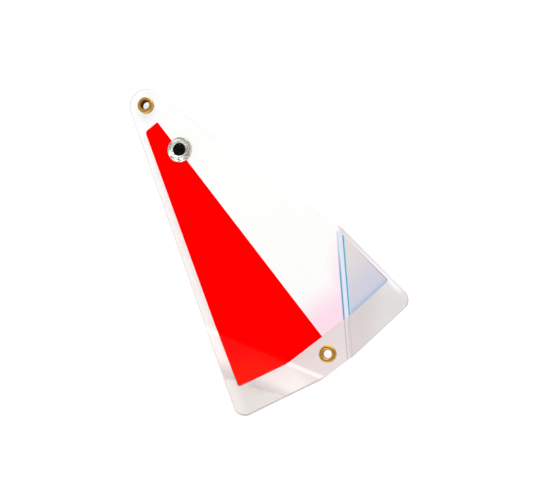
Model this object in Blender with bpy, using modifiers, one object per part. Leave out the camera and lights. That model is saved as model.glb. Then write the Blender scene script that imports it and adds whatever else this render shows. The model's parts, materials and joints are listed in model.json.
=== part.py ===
"""An in-line trolling flasher: a clear bent blade, two-tone film, brass grommets and raised eyes.

The pieces are drawn on the flat blade. There x runs from the nose grommet's centre towards the tail, y towards
the pearl half, and z through the front face, from the middle of the blade's thickness. Bending then lifts the
red fin and drops the pearl one, and an empty lays the bent blade on a table, front face up. Sizes are metres.
"""

import math

import bmesh
import bpy
from mathutils import Matrix, Vector

MM = 0.001
PEARL_SIDE, RED_SIDE = 1, -1  # along y
FRONT, BACK = 1, -1  # along z

# Blade, measured flat
BLADE_LENGTH = 202.5 * MM  # nose tip to tail edge
BLADE_THICKNESS = 1.6 * MM
HALF_ANGLE = math.radians(16.2)  # between the axis and each side
NOSE_RADIUS = 10.1 * MM  # about the nose grommet's centre
TAIL_CORNER_RADIUS = 5.5 * MM
EDGE_ROUNDING = 0.25 * MM

# Bends, one across each tail corner, not quite alike
FIN_BEND = math.radians(44.4)
BEND_RADIUS = {PEARL_SIDE: 3.5 * MM, RED_SIDE: 5.8 * MM}  # at the middle of the thickness
FIN_SIDE = 65.5 * MM  # crease to the sharp tail corner, along the side
CREASE_FROM_AXIS = {PEARL_SIDE: 8.6 * MM, RED_SIDE: 9.6 * MM}  # along the tail edge
BEND_STEPS = 8

# Film, two halves on each face
FILM_THICKNESS = 0.3 * MM
FILM_MARGIN = 4.3 * MM  # clear strip along each side
FILM_START = 12.9 * MM  # from the nose grommet's centre
CLEAR_TAIL = 18.9 * MM  # clear band along the tail edge
FILM_TURN = math.radians(0.57)  # laid a little askew
SEAM_AT_START = -0.4 * MM  # from the film's middle, towards the pearl half
SEAM_AT_TAIL = 1.6 * MM
FILM_CORNER_RADIUS = 1.2 * MM

# Grommets and their washers
TAIL_GROMMET_INSET = 9.2 * MM  # from the tail edge
BORE_RADIUS = 2.4 * MM
BARREL_WALL = 0.4 * MM
FLANGE_RADIUS = 4.9 * MM
FLANGE_HEIGHT = 1.0 * MM
FLANGE_FLAT = 0.8 * MM  # width of the flat ring on the flange's crown
WASHER_RADIUS = 4.9 * MM
WASHER_THICKNESS = 0.35 * MM
LIP_RADIUS = 4.0 * MM
LIP_THICKNESS = 0.45 * MM

# Eyes
EYE_FROM_NOSE = 35.2 * MM
EYE_OFF_AXIS = 0.8 * MM  # towards the pearl half
EYE_RADIUS = 7.4 * MM
PUPIL_RADIUS = 3.6 * MM
FOIL_THICKNESS = 0.3 * MM
DOME_RIM = 0.4 * MM
DOME_HEIGHT = 2.5 * MM

CLEARANCE = 0.3 * MM  # between pieces that touch
ARC_STEP = math.radians(9)
TURN_STEPS = 40

# Sizes that follow from these
APEX = NOSE_RADIUS / math.sin(HALF_ANGLE)  # where the two sides would meet, ahead of the nose grommet
TAIL = BLADE_LENGTH - NOSE_RADIUS
HALF_THICKNESS = BLADE_THICKNESS / 2
HALF_TAIL = (TAIL + APEX) * math.tan(HALF_ANGLE)
BEND_WIDTH = {side: radius * FIN_BEND for side, radius in BEND_RADIUS.items()}
FILM_LOW = HALF_THICKNESS + CLEARANCE
FILM_HIGH = FILM_LOW + FILM_THICKNESS


def collection(name):
    """A new collection in the scene."""
    made = bpy.data.collections.new(name)
    bpy.context.scene.collection.children.link(made)
    return made


def material(name, colour, roughness, metallic=0.0, alpha=1.0):
    """A Principled material of one colour."""
    made = bpy.data.materials.new(name)
    made.use_nodes = True
    shader = made.node_tree.nodes["Principled BSDF"]
    shader.inputs["Base Color"].default_value = (*colour, 1.0)
    shader.inputs["Roughness"].default_value = roughness
    shader.inputs["Metallic"].default_value = metallic
    shader.inputs["Alpha"].default_value = alpha
    return made


def place(name, mesh, finish, location=(0.0, 0.0, 0.0)):
    """One piece of the flasher, held by the empty that lays it on the table."""
    mesh.name = name
    mesh.materials.clear()
    mesh.materials.append(finish)
    made = bpy.data.objects.new(name, mesh)
    made.location = location
    made.parent = REST
    FLASHER.objects.link(made)
    return made


def rounded(corners):
    """An outline through the corners, given as (place, radius) pairs, with an arc at each."""
    outline = []
    for index, (corner, radius) in enumerate(corners):
        before = (corners[index - 1][0] - corner).normalized()
        after = (corners[(index + 1) % len(corners)][0] - corner).normalized()
        half = before.angle(after) / 2
        centre = corner + (before + after).normalized() * radius / math.sin(half)
        start = corner + before * radius / math.tan(half) - centre
        sweep = math.pi - 2 * half
        turn = -math.copysign(sweep, before.cross(after))
        steps = math.ceil(sweep / ARC_STEP)
        for step in range(steps + 1):
            outline.append(centre + Matrix.Rotation(turn * step / steps, 2) @ start)
    return outline


def bend_start(side):
    """A point and the outward direction of the line where the bend on one side begins."""
    corner = Vector((TAIL, side * HALF_TAIL, 0.0))
    along_side = Vector((math.cos(HALF_ANGLE), side * math.sin(HALF_ANGLE), 0.0))
    at_side = corner - along_side * FIN_SIDE
    at_tail = Vector((TAIL, side * CREASE_FROM_AXIS[side], 0.0))
    crease = (at_tail - at_side).normalized()
    outward = Vector((-crease.y, crease.x, 0.0)) * side
    return at_tail - outward * BEND_WIDTH[side] / 2, outward


def bent(point):
    """Where a point of the flat blade goes when both fins are bent, the red one up and the pearl one down."""
    for side in (PEARL_SIDE, RED_SIDE):
        start, outward = bend_start(side)
        beyond = (point - start).dot(outward)
        if beyond <= 0.0:
            continue
        rise = -side
        angle = min(beyond / BEND_RADIUS[side], FIN_BEND)
        straight = max(beyond - BEND_WIDTH[side], 0.0)
        radius = BEND_RADIUS[side] - rise * point.z
        reach = radius * math.sin(angle) + straight * math.cos(angle)
        height = BEND_RADIUS[side] - radius * math.cos(angle) + straight * math.sin(angle)
        foot = point - outward * beyond
        return Vector((foot.x, foot.y, 0.0)) + outward * reach + Vector((0.0, 0.0, rise * height))
    return point.copy()


def sheet(corners, low, high):
    """A flat sheet between two heights, cut across along its bends and bent with the blade."""
    curve = bpy.data.curves.new("outline", "CURVE")
    curve.dimensions = "2D"
    curve.fill_mode = "BOTH"
    curve.extrude = abs(high - low) / 2
    outline = rounded(corners)
    spline = curve.splines.new("POLY")
    spline.points.add(len(outline) - 1)
    for point, corner in zip(spline.points, outline):
        point.co = (corner.x, corner.y, 0.0, 1.0)
    spline.use_cyclic_u = True
    drawn = bpy.data.objects.new("outline", curve)
    bpy.context.scene.collection.objects.link(drawn)
    mesh = bpy.data.meshes.new_from_object(drawn.evaluated_get(bpy.context.evaluated_depsgraph_get()))
    bpy.data.objects.remove(drawn)
    bpy.data.curves.remove(curve)

    shape = bmesh.new()
    shape.from_mesh(mesh)
    bmesh.ops.remove_doubles(shape, verts=shape.verts, dist=0.001 * MM)
    bmesh.ops.dissolve_limit(shape, angle_limit=math.radians(0.5), verts=shape.verts, edges=shape.edges)
    bmesh.ops.translate(shape, verts=shape.verts, vec=(0.0, 0.0, (low + high) / 2))
    for side in (PEARL_SIDE, RED_SIDE):
        start, outward = bend_start(side)
        for step in range(BEND_STEPS + 1):
            line = start + outward * BEND_WIDTH[side] * step / BEND_STEPS
            everything = [*shape.verts, *shape.edges, *shape.faces]
            bmesh.ops.bisect_plane(shape, geom=everything, dist=0.001 * MM, plane_co=line, plane_no=outward)
    for vertex in shape.verts:
        vertex.co = bent(vertex.co)
    bmesh.ops.recalc_face_normals(shape, faces=shape.faces)
    shape.to_mesh(mesh)
    shape.free()
    return mesh


def turned(name, profile, closed, finish, location):
    """A piece turned about its own z axis; the profile runs down its outer side."""
    shape = bmesh.new()
    points = [shape.verts.new((radius, 0.0, height)) for radius, height in profile]
    for first, second in zip(points, points[1:] + points[:1] if closed else points[1:]):
        shape.edges.new((first, second))
    mesh = bpy.data.meshes.new(name)
    shape.to_mesh(mesh)
    shape.free()
    made = place(name, mesh, finish, location)
    screw = made.modifiers.new("turn", "SCREW")
    screw.steps = screw.render_steps = TURN_STEPS
    screw.use_merge_vertices = True
    screw.merge_threshold = 0.001 * MM
    return made


def arc(centre, width, height, start, end, steps):
    """Points on part of an ellipse, its angles in degrees from +x towards +z."""
    angles = [math.radians(start + (end - start) * step / steps) for step in range(steps + 1)]
    return [(centre[0] + width * math.cos(angle), centre[1] + height * math.sin(angle)) for angle in angles]


def blade(finish):
    """The clear blade, with a hole for each grommet."""
    corners = [
        (Vector((-APEX, 0.0)), NOSE_RADIUS),
        (Vector((TAIL, -HALF_TAIL)), TAIL_CORNER_RADIUS),
        (Vector((TAIL, HALF_TAIL)), TAIL_CORNER_RADIUS),
    ]
    made = place("blade", sheet(corners, -HALF_THICKNESS, HALF_THICKNESS), finish)
    for label, centre in GROMMETS.items():
        bpy.ops.mesh.primitive_cylinder_add(
            vertices=TURN_STEPS,
            radius=BORE_RADIUS + BARREL_WALL + CLEARANCE,
            depth=3 * BLADE_THICKNESS,
            location=(centre, 0.0, 0.0),
        )
        cutter = bpy.context.object
        cutter.name = f"{label}_hole"
        cutter.parent = REST
        cutter.hide_render = True
        cutter.display_type = "WIRE"
        for owner in cutter.users_collection:
            owner.objects.unlink(cutter)
        CUTTERS.objects.link(cutter)
        hole = made.modifiers.new(f"{label}_hole", "BOOLEAN")
        hole.object = cutter
    edge = made.modifiers.new("rounded_edges", "BEVEL")
    edge.width = EDGE_ROUNDING
    edge.segments = 2
    edge.limit_method = "ANGLE"
    edge.angle_limit = math.radians(50)
    return made


def film(name, side, face, finish):
    """One half of the film on one face, from the seam out to the clear margin."""
    apex = (NOSE_RADIUS - FILM_MARGIN) / math.sin(HALF_ANGLE)
    gap = side * CLEARANCE / 2

    def half_width(x):
        return (x + apex) * math.tan(HALF_ANGLE)

    end = TAIL - CLEAR_TAIL
    flat = [
        (FILM_START, SEAM_AT_START + gap, 0.5 * FILM_CORNER_RADIUS),
        (FILM_START, side * half_width(FILM_START), 2 * FILM_CORNER_RADIUS),
        (end, side * half_width(end), FILM_CORNER_RADIUS),
        (end, SEAM_AT_TAIL + gap, 0.5 * FILM_CORNER_RADIUS),
    ]
    askew = Matrix.Rotation(FILM_TURN, 2)
    corners = [(askew @ Vector((x, y)), radius) for x, y, radius in flat]
    return place(name, sheet(corners, face * FILM_LOW, face * FILM_HIGH), finish)


def grommet(label, centre, finish):
    """A grommet: a rounded front flange, a barrel through the blade and a lip rolled over the washer."""
    barrel = BORE_RADIUS + BARREL_WALL
    seat = HALF_THICKNESS + CLEARANCE
    crown = seat + FLANGE_HEIGHT
    outer_round = (FLANGE_RADIUS - BORE_RADIUS - FLANGE_FLAT) * 0.4
    inner_round = FLANGE_RADIUS - BORE_RADIUS - FLANGE_FLAT - outer_round
    lip_top = -(seat + WASHER_THICKNESS + CLEARANCE)
    lip_low = lip_top - LIP_THICKNESS
    roll = LIP_THICKNESS / 2
    flange = [
        *arc((BORE_RADIUS + inner_round, crown - inner_round), inner_round, inner_round, 180, 90, 5),
        *arc((FLANGE_RADIUS - outer_round, crown - outer_round), outer_round, outer_round, 90, 0, 4),
        (FLANGE_RADIUS, seat + 0.2 * FLANGE_HEIGHT),
        (FLANGE_RADIUS - 0.15 * FLANGE_HEIGHT, seat),
        (barrel, seat),
    ]
    lip = [
        (barrel, lip_top),
        *arc((LIP_RADIUS - roll, lip_top - roll), roll, roll, 90, -90, 6),
        *arc((barrel, lip_low + BARREL_WALL), BARREL_WALL, BARREL_WALL, 270, 180, 3),
    ]
    return turned(f"{label}_grommet", flange + lip, True, finish, (centre, 0.0, 0.0))


def washer(label, centre, finish):
    """The flat washer that the grommet's lip is rolled over, on the back of the blade."""
    inner = BORE_RADIUS + BARREL_WALL + CLEARANCE
    top = -(HALF_THICKNESS + CLEARANCE)
    low = top - WASHER_THICKNESS
    chamfer = 0.3 * WASHER_THICKNESS
    profile = [
        (inner, top),
        (WASHER_RADIUS, top),
        (WASHER_RADIUS, low + chamfer),
        (WASHER_RADIUS - chamfer, low),
        (inner, low),
    ]
    return turned(f"{label}_washer", profile, True, finish, (centre, 0.0, 0.0))


def eye(label, face, foil_finish, pupil_finish, dome_finish):
    """A raised eye: a foil ring round a black pupil, both under a clear dome."""
    centre = (EYE_FROM_NOSE, EYE_OFF_AXIS, 0.0)
    base = FILM_HIGH + CLEARANCE
    foil_top = base + FOIL_THICKNESS
    dome_base = foil_top + CLEARANCE
    shoulder = dome_base + DOME_RIM
    rise = DOME_HEIGHT - DOME_RIM
    ball = (EYE_RADIUS**2 + rise**2) / (2 * rise)
    edge = math.degrees(math.asin(EYE_RADIUS / ball))
    inner = PUPIL_RADIUS + CLEARANCE
    foil = [(inner, foil_top), (EYE_RADIUS, foil_top), (EYE_RADIUS, base), (inner, base)]
    pupil = [(0.0, foil_top), (PUPIL_RADIUS, foil_top), (PUPIL_RADIUS, base), (0.0, base)]
    dome = [
        *arc((0.0, shoulder + rise - ball), ball, ball, 90, 90 - edge, 8),
        (EYE_RADIUS, dome_base),
        (0.0, dome_base),
    ]
    pieces = [
        turned(f"{label}_eye_foil", foil, True, foil_finish, centre),
        turned(f"{label}_eye_pupil", pupil, False, pupil_finish, centre),
        turned(f"{label}_eye_dome", dome, False, dome_finish, centre),
    ]
    if face == BACK:
        for piece in pieces:
            piece.rotation_euler.x = math.pi
    return pieces


def lay_down():
    """Rest the flasher on its red side's edge and the tip of its pearl fin, over the origin."""
    bpy.context.view_layer.update()
    graph = bpy.context.evaluated_depsgraph_get()
    corners = []
    for piece in FLASHER.objects:
        mesh = piece.evaluated_get(graph).to_mesh()
        corners += [piece.matrix_world @ vertex.co for vertex in mesh.vertices]
        piece.evaluated_get(graph).to_mesh_clear()

    edge = Vector((math.cos(HALF_ANGLE), -math.sin(HALF_ANGLE), 0.0))
    inward = Vector((math.sin(HALF_ANGLE), math.cos(HALF_ANGLE), 0.0))
    pivot = EDGE_ROUNDING - NOSE_RADIUS
    tilts = []
    for corner in corners:
        across = corner.dot(inward) - pivot
        if across > MM:
            tilts.append(math.atan2(-HALF_THICKNESS - corner.z, across))
    tilt = Matrix.Rotation(max(tilts), 3, edge)
    axis = tilt @ Vector((1.0, 0.0, 0.0))
    turn = Matrix.Rotation(-math.atan2(axis.y, axis.x), 3, "Z") @ tilt

    laid = [turn @ corner for corner in corners]
    low = Vector([min(corner[i] for corner in laid) for i in range(3)])
    high = Vector([max(corner[i] for corner in laid) for i in range(3)])
    foot = Vector(((low.x + high.x) / 2, (low.y + high.y) / 2, low.z))
    REST.matrix_world = Matrix.Translation(-foot) @ turn.to_4x4()


for old in list(bpy.data.objects):
    bpy.data.objects.remove(old)

FLASHER = collection("trolling_flasher")
CUTTERS = collection("cutters")
REST = bpy.data.objects.new("rest_on_table", None)
bpy.context.scene.collection.objects.link(REST)
GROMMETS = {"nose": 0.0, "tail": TAIL - TAIL_GROMMET_INSET}

clear = material("clear_polycarbonate", (0.93, 0.94, 0.95), 0.05, alpha=0.3)
red = material("red_film", (0.9, 0.01, 0.005), 0.25)
pearl = material("pearl_film", (0.9, 0.87, 0.9), 0.2)
brass = material("brass", (0.72, 0.48, 0.16), 0.25, metallic=1.0)
silver = material("silver_foil", (0.82, 0.82, 0.78), 0.2, metallic=1.0)
black = material("pupil_black", (0.01, 0.01, 0.01), 0.3)
dome_clear = material("clear_resin", (0.95, 0.95, 0.95), 0.03, alpha=0.25)

blade(clear)
for face_name, face_side in (("front", FRONT), ("back", BACK)):
    film(f"{face_name}_red_film", RED_SIDE, face_side, red)
    film(f"{face_name}_pearl_film", PEARL_SIDE, face_side, pearl)
    eye(face_name, face_side, silver, black, dome_clear)
for end_name, distance in GROMMETS.items():
    grommet(end_name, distance, brass)
    washer(end_name, distance, brass)
lay_down()
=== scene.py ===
import json
import math
import random

import bmesh
import bpy
from bpy.props import FloatProperty, FloatVectorProperty, IntProperty, PointerProperty
from mathutils import Matrix, Vector


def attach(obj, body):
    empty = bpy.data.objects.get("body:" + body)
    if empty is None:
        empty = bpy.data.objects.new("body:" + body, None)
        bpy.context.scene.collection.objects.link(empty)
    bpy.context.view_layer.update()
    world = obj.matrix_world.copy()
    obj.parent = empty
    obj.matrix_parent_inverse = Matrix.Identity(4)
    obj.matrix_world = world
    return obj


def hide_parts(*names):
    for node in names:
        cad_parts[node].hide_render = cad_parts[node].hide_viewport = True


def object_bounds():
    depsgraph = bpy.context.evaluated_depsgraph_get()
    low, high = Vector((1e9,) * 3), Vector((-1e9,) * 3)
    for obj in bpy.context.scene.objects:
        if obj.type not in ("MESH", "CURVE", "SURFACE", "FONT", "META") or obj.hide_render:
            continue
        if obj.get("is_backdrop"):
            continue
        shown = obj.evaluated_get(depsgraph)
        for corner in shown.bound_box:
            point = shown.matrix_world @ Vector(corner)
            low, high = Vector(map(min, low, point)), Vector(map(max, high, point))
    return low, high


bl_info = {
    "name": "Trolling flasher",
    "version": (1, 0, 0),
    "blender": (4, 5, 0),
    "location": "3D View > Sidebar > Flasher",
    "description": "Builds a clear trolling flasher with two-tone film, brass grommets and raised eyes",
    "category": "Object",
}

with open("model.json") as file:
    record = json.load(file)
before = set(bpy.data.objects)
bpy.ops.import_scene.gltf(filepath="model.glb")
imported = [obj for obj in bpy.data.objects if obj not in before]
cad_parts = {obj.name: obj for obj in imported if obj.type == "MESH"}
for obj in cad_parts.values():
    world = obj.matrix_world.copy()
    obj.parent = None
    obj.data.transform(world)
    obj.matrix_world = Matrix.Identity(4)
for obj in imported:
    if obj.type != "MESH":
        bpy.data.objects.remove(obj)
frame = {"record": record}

MM = 0.001
PEARL_SIDE, RED_SIDE = 1, -1  # across the blade
FRONT, BACK = 1, -1  # the two faces
FLAT_MAP = "flat_sheet"  # UV map: each point's place on the sheet before it was bent, in metres
CUT_EDGE = "cut_edge"  # attribute: 1 on a sheet's cut edges, 0 on its faces
GLUED = "glued"  # attribute: 1 on the face of a film that is stuck to the blade
TURNED_MAP = "turned_section"  # UV map: each point's distance from a turned piece's axis, and its height
HAIR = 0.02 * MM  # how far apart pieces that touch are drawn, and how deep a glued film is sunk
ARC_STEP = math.radians(5)  # largest turn between two points of an outline's arcs
SOFT = {"interpolation_type": "SMOOTHSTEP"}  # options of a Map Range that eases in and out
COLOURS = {"output": 2, "data_type": "RGBA"}  # options of a Mix of two colours, its inputs 6 and 7


def linear(code):
    """An sRGB hex colour as linear RGBA."""
    channels = [int(code[i : i + 2], 16) / 255 for i in (1, 3, 5)]
    return tuple(c / 12.92 if c <= 0.04045 else ((c + 0.055) / 1.055) ** 2.4 for c in channels) + (1.0,)


WHITE = linear("#FFFFFF")


def length(name, millimetres, description):
    """A length property, its default given in millimetres."""
    return FloatProperty(
        name=name, description=description, default=millimetres * MM, precision=5, unit="LENGTH"
    )


def angle(name, degrees, description):
    """An angle property, its default given in degrees."""
    return FloatProperty(name=name, description=description, default=math.radians(degrees), subtype="ANGLE")


def colour(name, code, description):
    """A colour property, its default given as an sRGB hex value."""
    return FloatVectorProperty(
        name=name, description=description, default=linear(code), size=4, min=0.0, max=1.0, subtype="COLOR"
    )


def number(name, value, description):
    """A plain number property."""
    return FloatProperty(name=name, description=description, default=value)


class FlasherBlade(bpy.types.PropertyGroup):
    """Sizes and colours of the clear blade"""

    whole: length("Length", 202.5, "Nose tip to tail edge, flat")
    thickness: length("Thickness", 1.6, "Thickness of the sheet")
    half_angle: angle("Half angle", 16.2, "Between the axis and each side")
    nose_radius: length("Nose radius", 10.1, "About the nose grommet's centre")
    corner_radius: length("Corner radius", 5.5, "At both tail corners")
    edge_rounding: length("Edge rounding", 0.3, "Where the cut edges were tumbled smooth")
    fin_bend: angle("Fin bend", 44.4, "How far each tail corner is bent")
    fin_side: length("Fin side", 65.5, "Crease to the sharp tail corner, along the side")
    pearl_bend_radius: length("Pearl bend radius", 3.5, "At the middle of the thickness")
    red_bend_radius: length("Red bend radius", 5.8, "At the middle of the thickness")
    pearl_crease: length("Pearl crease", 8.6, "From the axis, along the tail edge")
    red_crease: length("Red crease", 9.6, "From the axis, along the tail edge")
    bend_steps: IntProperty(name="Bend steps", description="Facets across each bend", default=24, min=2)
    clear: colour("Clear", "#FBFBFC", "What the sheet does to light near the nose")
    # Partly the sheet's own grey, partly painted shade: the shade beneath the blade seen through the sheet,
    # down the red side and about the tail grommet.
    red_side_shade: colour("Red side shade", "#F8F4F2", "What it does to light down the red side")
    tail_shade: colour("Tail shade", "#EDE6E5", "What it does to light about the tail grommet")
    # Painted shade and painted reflection over a little of the sheet's own grey: the film's shadow below,
    # just beyond the sharper bend, and the surroundings seen in the lowered fin.
    bend_side_shade: colour("Bend side shade", "#DED5D5", "What it does to light just beyond the sharper bend")
    lowered_grey_and_reflection: colour("Lowered fin grey and reflection", "#E1DEDD", "What it does to light on the lowered fin")
    # Painted reflection: the surroundings seen in the outer part of the raised fin.
    raised_fin_reflection: colour("Raised fin reflection", "#CBC7C3", "What it does to light on the outer part of the raised fin")
    # A grey line drawn along each edge of the sharper bend.
    bend_edge_grey: colour("Bend edge line", "#D2C6C5", "Along both edges of the sharper bend")
    edge: colour("Cut edge", "#D8D1D4", "Frosted edge of the sheet")
    tail_cut: colour("Tail cut", "#CDBFC4", "Frosted edge along the tail")


class FlasherFilm(bpy.types.PropertyGroup):
    """Sizes and colours of the film"""

    thickness: length("Thickness", 0.14, "Film with its adhesive")
    margin: length("Margin", 4.3, "Clear strip along each side")
    start: length("Start", 12.9, "From the nose grommet's centre")
    clear_tail: length("Clear tail", 18.9, "Clear band along the tail edge")
    turn: angle("Turn", 0.57, "How far askew the film was laid")
    corner_radius: length("Corner radius", 1.2, "At the tail corners")
    seam_at_start: length("Seam at start", -0.4, "From the film's middle, towards the pearl half")
    seam_at_tail: length("Seam at tail", 1.6, "From the film's middle, towards the pearl half")
    seam_gap: length("Seam gap", 0.1, "Between the two halves")
    red_passes: number("Red passes", 0.5, "Share of the light that each face of the red film lets by")
    pearl_passes: number("Pearl passes", 0.6, "Share of the light that each face of the pearl film lets by")
    red: colour("Red", "#FF0000", "Body colour of the red half")
    # Painted light: the raised fin's red catches more light and shows orange towards its tail corner.
    red_painted_light: colour("Red with painted light", "#FF1400", "Red of the raised fin's tail corner")
    red_sheen: colour("Red sheen", "#FF1800", "Tint of the red film's gloss")
    pearl: colour("Pearl", "#FFFFFF", "Body colour of the pearl half")
    # Painted sheen: the pearl's colour shift, fixed in place on the sheet.
    pearl_pink_sheen: colour("Pearl pink sheen", "#FFE0F0", "Blush of the pearl film towards the tail")
    # Painted shade and painted sheen: the lowered fin faces away from the light, and the pearl's colour
    # shifts as it turns.
    pearl_fin: colour("Pearl fin", "#EADADF", "Pearl film on the lowered fin")
    pearl_low: colour("Pearl low", "#D4CDE4", "Pearl film low on the lowered fin")
    pearl_blue: colour("Pearl blue", "#A9B8DF", "Pearl film along the lowered fin's tail edge")
    pearl_side: colour("Pearl side", "#B98F98", "Cut side edge of the pearl film on the lowered fin")
    # Painted sheen: pale blue where the pearl turns away just beyond the bend.
    pearl_halo: colour("Pearl halo", "#BDDCF2", "Pearl film just beyond the bend")
    # Painted reflection: the cyan lines that the bend's edges show, fixed in place on the sheet.
    bend_line: colour("Bend line", "#3F9FC4", "Stretched pearl film at both edges of the bend")
    # Painted sheen inside the bend.
    bend_band: colour("Bend band", "#E9E6FC", "Pearl film inside the bend")


class FlasherGrommets(bpy.types.PropertyGroup):
    """Sizes and colours of the grommets and washers"""

    tail_inset: length("Tail inset", 9.2, "Tail grommet's centre from the tail edge")
    bore: length("Bore radius", 2.4, "Open hole")
    wall: length("Barrel wall", 0.4, "Of the barrel through the blade")
    clearance: length("Clearance", 0.1, "Between the barrel and the hole in the blade")
    flange: length("Flange radius", 4.9, "Outside of the front flange")
    crown: length("Crown height", 1.3, "Flange above the blade's front face")
    flat: length("Crown flat", 0.8, "Width of the flat ring on the crown")
    washer: length("Washer radius", 4.9, "Outside of the washer")
    washer_thickness: length("Washer thickness", 0.55, "Of the washer")
    lip: length("Lip radius", 4.0, "Outside of the rolled lip")
    lip_depth: length("Lip depth", 0.85, "Of the lip below the washer")
    lobes: IntProperty(name="Lip lobes", description="Lobes that the lip split into as it rolled", default=7)
    lip_split: length("Lip split", 0.28, "How far the lip is drawn in between its lobes")
    brass: colour("Brass", "#DFAD55", "Polished brass")
    # Painted shade: the dark brown that the nose grommet's bore shows in its own shadow.
    bore_shade: colour("Bore shade", "#3A1C04", "Brown tarnish in the nose grommet's bore")


class FlasherEyes(bpy.types.PropertyGroup):
    """Sizes and colours of the eyes"""

    from_nose: length("From nose", 35.2, "Eye's centre from the nose grommet's")
    off_axis: length("Off axis", 0.8, "Eye's centre towards the pearl half")
    radius: length("Radius", 7.4, "Outside of the dome")
    pupil_radius: length("Pupil radius", 3.6, "Printed pupil")
    foil: length("Foil thickness", 0.2, "Of the foil ring")
    foil_inset: length("Foil inset", 0.15, "From the dome's outside to the foil's")
    crinkle: length("Crinkle", 0.2, "Height of the foil's creases")
    rim: length("Dome rim", 0.6, "Upright edge of the dome")
    top: length("Dome top", 4.4, "Above the middle of the blade's thickness")
    silver: colour("Silver", "#FAF9F0", "Foil")
    pupil: colour("Pupil", "#010101", "Print of the pupil")
    pupil_grain: colour("Pupil grain", "#0A0A0C", "Paler specks in the print")
    gloss: colour("Gloss", "#606060", "Tint of the resin's reflections")


class FlasherStage(bpy.types.PropertyGroup):
    """Camera, floor and light"""

    azimuth: angle("Azimuth", 40.06, "Camera round the flasher, 0 looking along +Y")
    elevation: angle("Elevation", 78.9, "Camera above the horizon")
    roll: angle("Roll", 14.73, "Camera about its own axis")
    distance: length("Distance", 569.5, "Camera from the point it looks at")
    aim: FloatVectorProperty(
        name="Aim",
        description="Point that the camera looks at",
        default=(24.03 * MM, 12.53 * MM, 0.0),
        unit="LENGTH",
    )
    lens: number("Lens", 63.5, "Focal length in millimetres on a sensor 36 mm wide")
    floor: colour("Floor", "#A0A0A0", "Paper, before its glow")
    floor_glow: number("Floor glow", 0.72, "Light that comes up through the paper")
    horizon: number("Horizon", 1.0, "Strength of the even light from low down")
    zenith: number("Zenith", 0.35, "Strength of the even light from straight above")
    key: number("Key", 21.0, "Power of the large soft lamp, in watts")
    fill: number("Fill", 4.0, "Power of the opposite soft lamp, in watts")


GROUPS = {
    "flasher_blade": FlasherBlade,
    "flasher_film": FlasherFilm,
    "flasher_grommets": FlasherGrommets,
    "flasher_eyes": FlasherEyes,
    "flasher_stage": FlasherStage,
}


def settings(name):
    """One of the scene's groups of sizes and colours."""
    return getattr(bpy.context.scene, "flasher_" + name)


# Place of the blade -------------------------------------------------------------------------------------


def crown_rounds(grommets):
    """Radii of the roundings outside and inside the flat ring on a flange's crown."""
    spare = grommets.flange - grommets.bore - grommets.flat
    return 0.4 * spare, 0.6 * spare


def blade_frame():
    """The blade's own frame: x from the nose grommet to the tail, y to the pearl half, z out of the front."""
    grommets = settings("grommets")
    mounts = {mount["name"]: mount for mount in frame["record"]["mounts"]}
    nose, tail = mounts["nose_grommet_front"], mounts["tail_grommet_front"]
    z = Vector(nose["axis"]).normalized()
    x = (Vector(tail["pos_m"]) - Vector(nose["pos_m"])).normalized()
    y = z.cross(x)
    _, inner_round = crown_rounds(grommets)
    ring = grommets.bore + inner_round + grommets.flat / 2
    crown = settings("blade").thickness / 2 + grommets.crown
    centre = Vector(nose["pos_m"]) - x * ring - z * crown
    turn = Matrix((x, y, z)).transposed()
    return Matrix.Translation(centre) @ turn.to_4x4()


def tail_edge():
    """The tail edge's distance from the nose grommet's centre."""
    blade = settings("blade")
    return blade.whole - blade.nose_radius


def film_offset():
    """How far from the nose grommet's centre the film's sides would pass."""
    return settings("blade").nose_radius - settings("film").margin


def half_width(x, side_offset):
    """How far from the axis a line parallel to a side runs, where that line passes the nose at an offset."""
    slope = settings("blade").half_angle
    return (x + side_offset / math.sin(slope)) * math.tan(slope)


def bend_radius(side):
    """Radius of one fin's bend, at the middle of the thickness."""
    return settings("blade").pearl_bend_radius if side == PEARL_SIDE else settings("blade").red_bend_radius


def bend_width(side):
    """Width of one fin's bend on the flat sheet."""
    return bend_radius(side) * settings("blade").fin_bend


def side_edge(side):
    """A point, the sharp tail corner, and the outward direction of one side's edge, on the flat sheet."""
    blade = settings("blade")
    corner = Vector((tail_edge(), side * half_width(tail_edge(), blade.nose_radius), 0.0))
    return corner, Vector((-math.sin(blade.half_angle), side * math.cos(blade.half_angle), 0.0))


def bend_start(side):
    """A point and the outward direction of the line where the bend on one side begins, on the flat sheet."""
    blade = settings("blade")
    corner, _ = side_edge(side)
    along_side = Vector((math.cos(blade.half_angle), side * math.sin(blade.half_angle), 0.0))
    crease_end = blade.pearl_crease if side == PEARL_SIDE else blade.red_crease
    at_tail = Vector((tail_edge(), side * crease_end, 0.0))
    crease = (at_tail - corner + along_side * blade.fin_side).normalized()
    outward = Vector((-crease.y, crease.x, 0.0)) * side
    return at_tail - outward * bend_width(side) / 2, outward


def bent(point):
    """Where a point of the flat sheet goes when the red fin is bent up and the pearl one down."""
    for side in (PEARL_SIDE, RED_SIDE):
        start, outward = bend_start(side)
        beyond = (point - start).dot(outward)
        if beyond <= 0.0:
            continue
        turned = min(beyond / bend_radius(side), settings("blade").fin_bend)
        straight = max(beyond - bend_width(side), 0.0)
        radius = bend_radius(side) + side * point.z
        reach = radius * math.sin(turned) + straight * math.cos(turned)
        height = bend_radius(side) - radius * math.cos(turned) + straight * math.sin(turned)
        foot = point - outward * beyond
        return Vector((foot.x, foot.y, 0.0)) + outward * reach - Vector((0.0, 0.0, side * height))
    return point.copy()


# Mesh work ----------------------------------------------------------------------------------------------


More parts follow.
